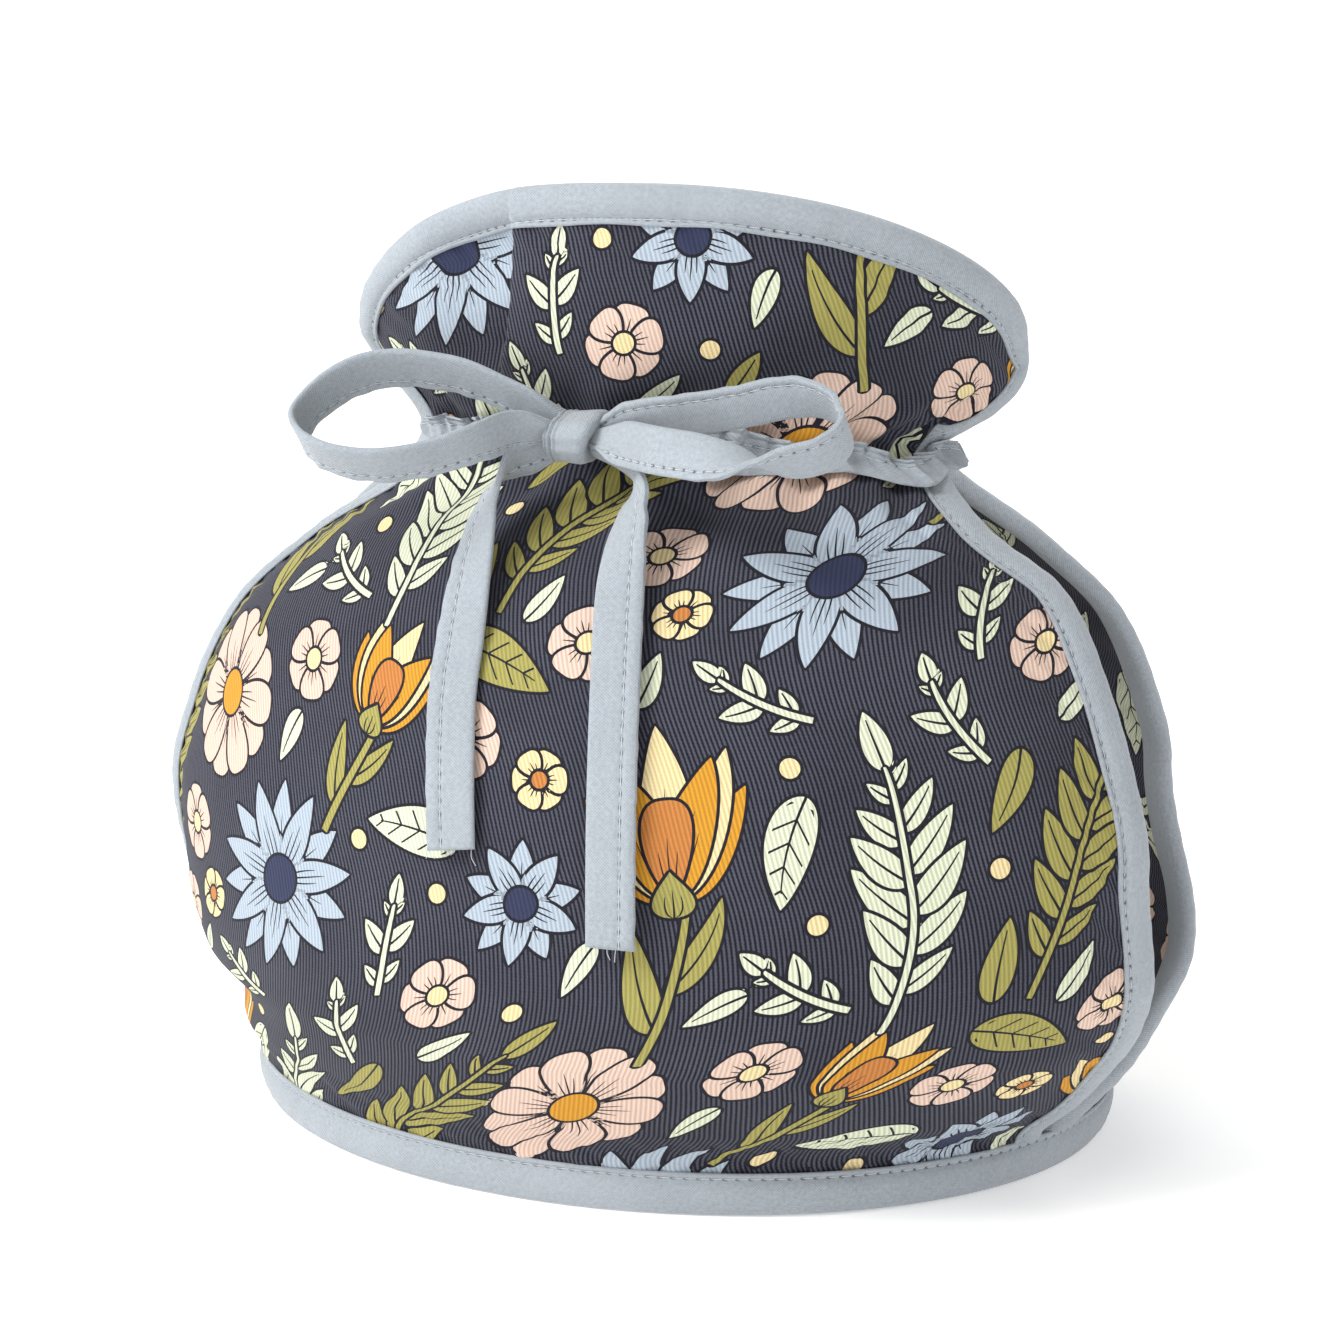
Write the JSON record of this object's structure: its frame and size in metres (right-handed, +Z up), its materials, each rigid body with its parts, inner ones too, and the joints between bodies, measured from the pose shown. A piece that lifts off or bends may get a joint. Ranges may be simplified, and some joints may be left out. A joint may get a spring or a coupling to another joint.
{
  "type": "tea cosy",
  "caption": "Wadded tea cosy of two bound leaves on one hem band, open at the sides for spout and handle, gathered at the neck under a tape bow and flaring above it.",
  "frame": {"origin": "centre of the overall box without the tie, on the plane the hem rests on", "axes": "+X towards the handle side, -X towards the spout side, +Y to the back leaf, away from the bow, +Z up from the hem to the collar"},
  "size_m": [0.2633, 0.211, 0.2261],
  "materials": {
    "printed_twill": "matte woven",
    "grey_blue_cotton": "matte woven"
  },
  "bodies": {
    "root": {"front_panel": "printed_twill", "back_panel": "printed_twill", "front_binding": "grey_blue_cotton", "back_binding": "grey_blue_cotton", "hem_band": "grey_blue_cotton", "front_casing_left": "grey_blue_cotton", "front_casing_right": "grey_blue_cotton", "back_casing": "grey_blue_cotton", "tie_knot": "grey_blue_cotton", "tie_loop_left": "grey_blue_cotton", "tie_loop_right": "grey_blue_cotton", "tie_tail_left": "grey_blue_cotton", "tie_tail_right": "grey_blue_cotton"}
  },
  "joints": []
}
